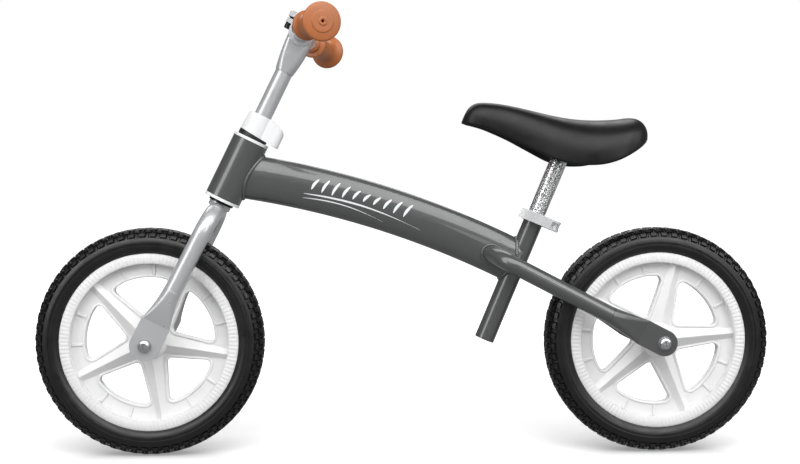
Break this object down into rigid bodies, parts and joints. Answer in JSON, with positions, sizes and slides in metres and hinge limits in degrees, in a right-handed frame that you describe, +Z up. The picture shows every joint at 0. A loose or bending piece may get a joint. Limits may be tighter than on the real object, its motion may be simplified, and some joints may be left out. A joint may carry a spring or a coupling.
{
  "type": "balance bike",
  "caption": "Child's balance bike with a curved oval frame tube, foam tyres on spoked plastic wheels, height-adjustable seat and bar.",
  "frame": {"origin": "on the ground, midway between the two axles, in the plane of symmetry", "axes": "+X forward towards the front wheel, +Y to the rider's left, +Z up"},
  "size_m": [0.94, 0.3288, 0.5653],
  "materials": {
    "frame_paint": "gloss",
    "silver_paint": "satin",
    "chrome": "polished",
    "white_plastic": "gloss",
    "wheel_plastic": "satin",
    "tyre_foam": "matte",
    "grip_rubber": "matte",
    "saddle_cover": "satin",
    "black_plastic": "matte",
    "black_steel": "satin",
    "zinc_steel": "satin"
  },
  "bodies": {
    "frame": {"head_tube": "frame_paint", "main_tube": "frame_paint", "seat_tube": "frame_paint", "left_stay": "frame_paint", "right_stay": "frame_paint", "frame_welds": "frame_paint", "stay_welds": "frame_paint", "lower_headset_cup": "white_plastic", "upper_headset_cup": "white_plastic", "lower_headset_balls": "zinc_steel", "upper_headset_balls": "zinc_steel", "seat_collar": "chrome", "seat_skewer": "chrome", "seat_skewer_nut": "chrome", "rear_axle_bolt": "zinc_steel", "rear_axle_nut": "zinc_steel", "rear_axle_washers": "zinc_steel", "rear_axle_spacers": "zinc_steel"},
    "steering": {"steerer_tube": "silver_paint", "fork": "silver_paint", "fork_weld": "silver_paint", "crown_race": "black_steel", "headset_cover": "black_plastic", "stem_clamp": "white_plastic", "stem_clamp_screw": "zinc_steel", "stem_clamp_nut": "zinc_steel", "front_axle_bolt": "zinc_steel", "front_axle_nut": "zinc_steel", "front_axle_washers": "zinc_steel", "front_axle_spacers": "zinc_steel"},
    "stem": {"stem_quill": "silver_paint", "stem_body": "silver_paint", "stem_screw": "black_steel"},
    "bar": {"handlebar": "chrome", "left_grip": "grip_rubber", "right_grip": "grip_rubber"},
    "seat": {"seat_post": "chrome", "saddle_base": "black_plastic", "saddle_pad": "saddle_cover", "saddle_bolt": "zinc_steel", "saddle_bolt_nut": "zinc_steel", "saddle_screws": "zinc_steel"},
    "lever": {"seat_lever": "chrome"},
    "front_wheel": {"front_tyre": "tyre_foam", "front_rim": "wheel_plastic", "front_wheel_bearings": "zinc_steel"},
    "rear_wheel": {"rear_tyre": "tyre_foam", "rear_rim": "wheel_plastic", "rear_wheel_bearings": "zinc_steel"}
  },
  "joints": [
    {"name": "steering", "type": "hinge", "parent": "frame", "child": "steering", "pos_m": [0.2323, 0, 0.3275], "axis": [-0.4384, 0, 0.8988], "continuous": true},
    {"name": "stem_height", "type": "slide", "parent": "steering", "child": "stem", "axis": [-0.4384, 0, 0.8988], "range_m": [-0.045, 0.03]},
    {"name": "bar_tilt", "type": "hinge", "parent": "stem", "child": "bar", "pos_m": [0.1306, 0, 0.53602], "axis": [0, 1, 0], "range_deg": [-20, 20]},
    {"name": "front_wheel_spin", "type": "hinge", "parent": "steering", "child": "front_wheel", "pos_m": [0.325, 0, 0.145], "axis": [0, 1, 0], "continuous": true},
    {"name": "rear_wheel_spin", "type": "hinge", "parent": "frame", "child": "rear_wheel", "pos_m": [-0.325, 0, 0.145], "axis": [0, 1, 0], "continuous": true},
    {"name": "seat_height", "type": "slide", "parent": "frame", "child": "seat", "axis": [-0.3843, 0, 0.9232], "range_m": [-0.045, 0.06]},
    {"name": "seat_lever", "type": "hinge", "parent": "frame", "child": "lever", "pos_m": [-0.19034, 0.0156, 0.29189], "axis": [-0.3843, 0, 0.9232], "range_deg": [0, 150]}
  ]
}
